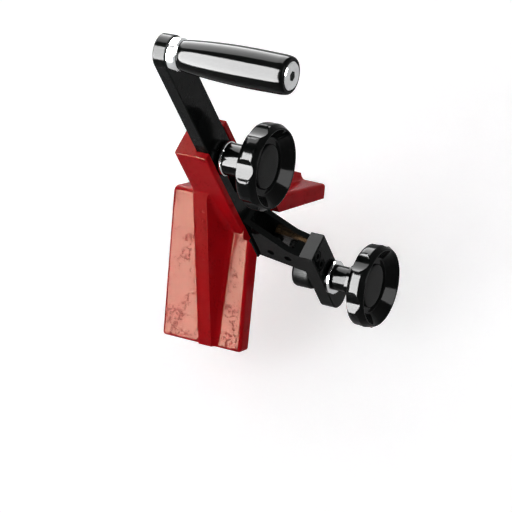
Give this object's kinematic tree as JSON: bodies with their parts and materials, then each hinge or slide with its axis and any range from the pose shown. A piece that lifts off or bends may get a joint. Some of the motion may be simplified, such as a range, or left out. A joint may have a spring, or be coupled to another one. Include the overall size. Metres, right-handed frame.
{
  "type": "plastic pipe beveller",
  "caption": "Hand beveller for plastic pipe: V saddle with tower, sliding crank bar with revolving grip, blade holder and counter-roller clamped by lobed knobs.",
  "frame": {"origin": "where the planes of the two V faces meet, at the middle of the saddle's length", "axes": "+Z away from the pipe, along the crank bar; +X along the pipe towards its open end; +Y across the pipe"},
  "size_m": [0.1208, 0.1296, 0.2371],
  "materials": {
    "red_enamel": "glossy red enamel on a sand casting",
    "black_enamel": "gloss black",
    "black_plastic": "polished black moulding",
    "chrome": "bright plated",
    "bright_steel": "zinc plated steel",
    "blade_steel": "ground tool steel",
    "brass": "turned"
  },
  "bodies": {
    "saddle": {"saddle": "red_enamel", "upper_stud": "bright_steel"},
    "carrier": {"crank_bar": "black_enamel", "holder_screws": "bright_steel", "blade_holder": "black_enamel", "blade": "blade_steel", "blade_screws": "bright_steel", "end_plate": "black_enamel", "plate_screws": "bright_steel", "grip_collar": "chrome", "grip_spindle": "chrome"},
    "grip": {"grip": "black_plastic"},
    "upper_clamp": {"upper_washer": "chrome"},
    "upper_knob": {"upper_knob": "black_plastic", "upper_knob_insert": "brass", "upper_knob_cap": "black_plastic"},
    "roller_slider": {"roller_bolt": "bright_steel", "retaining_ring": "bright_steel"},
    "roller": {"counter_roller": "black_enamel"},
    "lower_clamp": {"lower_washer": "chrome", "lower_sleeve": "black_enamel"},
    "lower_knob": {"lower_knob": "black_plastic", "lower_knob_insert": "brass", "lower_knob_cap": "black_plastic"}
  },
  "joints": [
    {"name": "bar_slide", "type": "slide", "parent": "saddle", "child": "carrier", "axis": [0, 0, 1], "range_m": [-0.0055, 0.026]},
    {"name": "grip_spin", "type": "hinge", "parent": "carrier", "child": "grip", "pos_m": [0, 0, 0.151], "axis": [1, 0, 0], "continuous": true},
    {"name": "upper_clamp_travel", "type": "slide", "parent": "saddle", "child": "upper_clamp", "axis": [1, 0, 0], "range_m": [0, 0.0019]},
    {"name": "upper_knob_turn", "type": "hinge", "parent": "upper_clamp", "child": "upper_knob", "pos_m": [0, 0, 0.057], "axis": [1, 0, 0], "range_deg": [0, 540]},
    {"name": "roller_slide", "type": "slide", "parent": "carrier", "child": "roller_slider", "axis": [0, 0, 1], "range_m": [-0.0055, 0.002]},
    {"name": "roller_spin", "type": "hinge", "parent": "roller_slider", "child": "roller", "pos_m": [0, 0, -0.048], "axis": [1, 0, 0], "continuous": true},
    {"name": "lower_clamp_travel", "type": "slide", "parent": "roller_slider", "child": "lower_clamp", "axis": [1, 0, 0], "range_m": [0, 0.0019]},
    {"name": "lower_knob_turn", "type": "hinge", "parent": "lower_clamp", "child": "lower_knob", "pos_m": [0, 0, -0.048], "axis": [1, 0, 0], "range_deg": [0, 540]}
  ],
  "couplings": [
    {"joint": "upper_clamp_travel", "follows": "upper_knob_turn", "m_per_rad": 0.00019894},
    {"joint": "lower_clamp_travel", "follows": "lower_knob_turn", "m_per_rad": 0.00019894}
  ]
}
